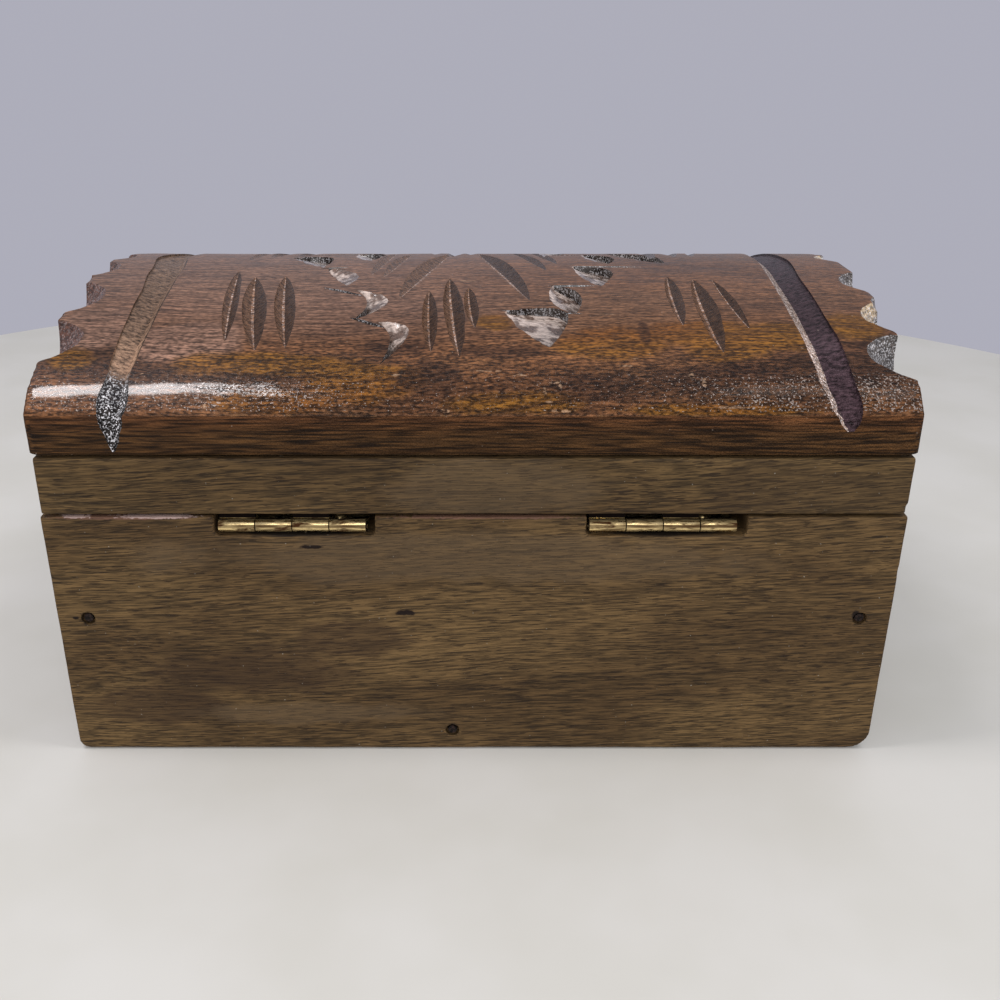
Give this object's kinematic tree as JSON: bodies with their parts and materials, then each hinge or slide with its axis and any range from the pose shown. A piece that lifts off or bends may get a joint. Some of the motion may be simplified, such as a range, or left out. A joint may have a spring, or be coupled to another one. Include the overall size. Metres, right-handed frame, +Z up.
{
  "type": "wooden gift box",
  "caption": "Wooden gift box with a domed, gouge-carved lid and scalloped ends, opening on two small brass butt hinges set in the back wall.",
  "frame": {"origin": "under the middle of the base, on the surface that the box stands on", "axes": "+X to the right end as seen from the front, +Y to the hinged back, +Z up"},
  "size_m": [0.148, 0.1, 0.0802],
  "materials": {
    "varnished_wood": "gloss varnish, worn at the edges",
    "bare_wood": "matte, lightly oiled",
    "sawn_wood": "matte, stained dark",
    "hinge_brass": "tarnished plating",
    "screw_brass": "dull",
    "dark_steel": "oxidised"
  },
  "bodies": {
    "base": {"back_panel": "bare_wood", "front_panel": "varnished_wood", "left_end_panel": "sawn_wood", "right_end_panel": "sawn_wood", "bottom_panel": "bare_wood", "left_hinge_base_leaf": "hinge_brass", "right_hinge_base_leaf": "hinge_brass", "left_hinge_pin": "dark_steel", "right_hinge_pin": "dark_steel", "hinge_base_screws": "screw_brass", "back_panel_brads": "dark_steel", "front_panel_brads": "dark_steel", "end_panel_brads": "dark_steel"},
    "lid": {"lid_top": "varnished_wood", "lid_back_rail": "bare_wood", "lid_front_rail": "varnished_wood", "lid_left_rail": "sawn_wood", "lid_right_rail": "sawn_wood", "left_hinge_lid_leaf": "hinge_brass", "right_hinge_lid_leaf": "hinge_brass", "hinge_lid_screws": "screw_brass"}
  },
  "joints": [
    {"name": "lid_hinge", "type": "hinge", "parent": "base", "child": "lid", "pos_m": [0, 0.0485, 0.0458], "axis": [-1, 0, 0], "range_deg": [0, 110]}
  ]
}
